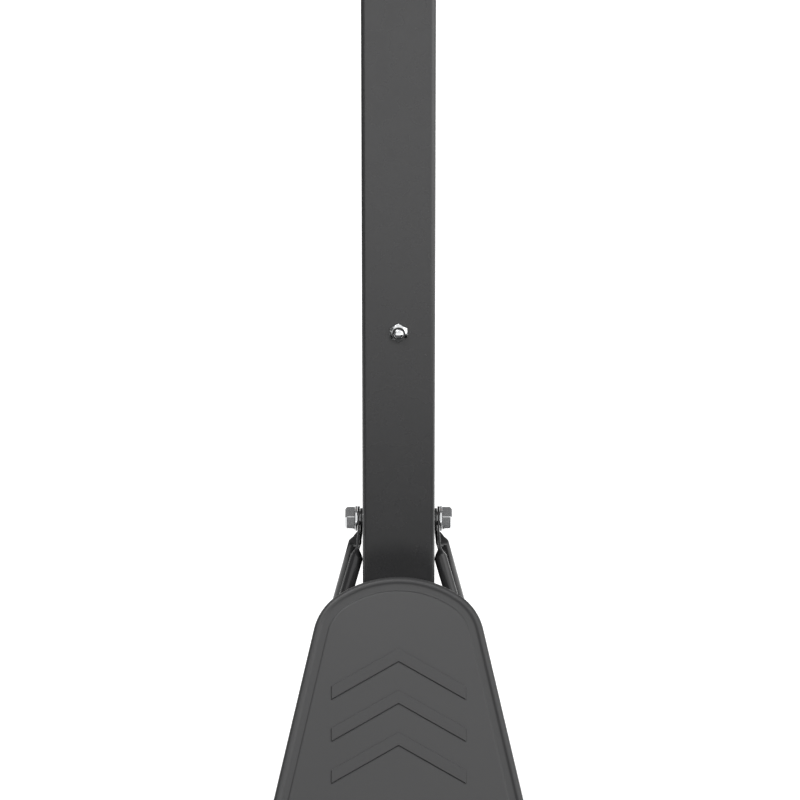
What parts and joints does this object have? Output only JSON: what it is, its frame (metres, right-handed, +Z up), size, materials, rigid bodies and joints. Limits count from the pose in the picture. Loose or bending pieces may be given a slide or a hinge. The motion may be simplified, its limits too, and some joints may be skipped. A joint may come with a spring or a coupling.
{
  "type": "basketball_stand",
  "caption": "Portable basketball stand: water-filled base on wheels, braced square pole, height-adjustable mast, board and sprung rim with a net.",
  "frame": {"origin": "On the floor, in the plane that the base rests on, under the axis of the pole", "axes": "+Z up along the pole, +Y over the court towards the hoop, +X to the right as seen from behind the stand, where the ballast tank is"},
  "size_m": [1.1, 1.9533, 2.871],
  "materials": {
    "coated_steel": "satin black powder coat",
    "base_plastic": "satin moulded polyethylene, dark grey",
    "fitting_plastic": "moulded black",
    "zinc_steel": "bright zinc plate",
    "rubber": "matt",
    "board_sheet": "smooth white sheet",
    "rim_paint": "gloss orange",
    "net_cord": "braided cord"
  },
  "bodies": {
    "stand": {"base_tank": "base_plastic", "pole_lower": "coated_steel", "pole_foot": "fitting_plastic", "pole_collar": "fitting_plastic", "strut_rear_left": "coated_steel", "strut_rear_right": "coated_steel", "strut_front_left": "coated_steel", "strut_front_right": "coated_steel", "strut_bolt_left": "zinc_steel", "strut_bolt_right": "zinc_steel", "strut_washer_left": "zinc_steel", "strut_washer_right": "zinc_steel", "foot_bolt_rear_left": "zinc_steel", "foot_bolt_rear_right": "zinc_steel", "foot_bolt_front_left": "zinc_steel", "foot_bolt_front_right": "zinc_steel", "stop_bolt": "zinc_steel", "stop_nut": "zinc_steel", "wheel_axle": "zinc_steel", "axle_nut": "zinc_steel"},
    "mast": {"mast_tube": "coated_steel", "mast_glide": "fitting_plastic", "mast_cap": "fitting_plastic", "bracket_left": "coated_steel", "bracket_right": "coated_steel", "mast_bolt_lower": "zinc_steel", "mast_bolt_upper": "zinc_steel", "rail_bolt_lower": "zinc_steel", "rail_bolt_upper": "zinc_steel", "rail_left": "coated_steel", "rail_right": "coated_steel", "frame_bottom": "coated_steel", "frame_top": "coated_steel", "frame_left": "coated_steel", "frame_right": "coated_steel", "board_panel": "board_sheet", "rim_mount": "rim_paint", "mount_bolt_lower_left": "zinc_steel", "mount_bolt_lower_right": "zinc_steel", "mount_bolt_upper_left": "zinc_steel", "mount_bolt_upper_right": "zinc_steel"},
    "rim": {"rim_bracket": "rim_paint", "hoop_ring": "rim_paint", "net": "net_cord", "spring_bolt_left": "zinc_steel", "spring_bolt_right": "zinc_steel", "rim_spring_left": "zinc_steel", "rim_spring_right": "zinc_steel"},
    "wheel_left": {"hub_left": "fitting_plastic", "tyre_left": "rubber"},
    "wheel_right": {"hub_right": "fitting_plastic", "tyre_right": "rubber"},
    "fill_plug": {"fill_plug": "fitting_plastic", "plug_seal": "rubber"},
    "lock_knob": {"lock_knob": "fitting_plastic"}
  },
  "joints": [
    {"name": "mast_slide", "type": "slide", "parent": "stand", "child": "mast", "axis": [0, 0, 1], "range_m": [0, 0.75]},
    {"name": "rim_tilt", "type": "hinge", "parent": "mast", "child": "rim", "pos_m": [0, 0.5996, 2.2887], "axis": [-1, 0, 0], "range_deg": [0, 12], "stiffness_Nm_per_rad": 200, "springref_deg": -7.16, "deforming": ["rim_spring_left", "rim_spring_right"]},
    {"name": "wheel_left_spin", "type": "hinge", "parent": "stand", "child": "wheel_left", "pos_m": [-0.074, 0.262, 0.054], "axis": [1, 0, 0], "continuous": true},
    {"name": "wheel_right_spin", "type": "hinge", "parent": "stand", "child": "wheel_right", "pos_m": [0.074, 0.262, 0.054], "axis": [1, 0, 0], "continuous": true},
    {"name": "knob_turn", "type": "hinge", "parent": "stand", "child": "lock_knob", "pos_m": [0, -0.04, 1.53], "axis": [0, 1, 0], "continuous": true},
    {"name": "plug_lift", "type": "slide", "parent": "stand", "child": "fill_plug", "axis": [0, 0, 1], "range_m": [0, 0.06]}
  ]
}
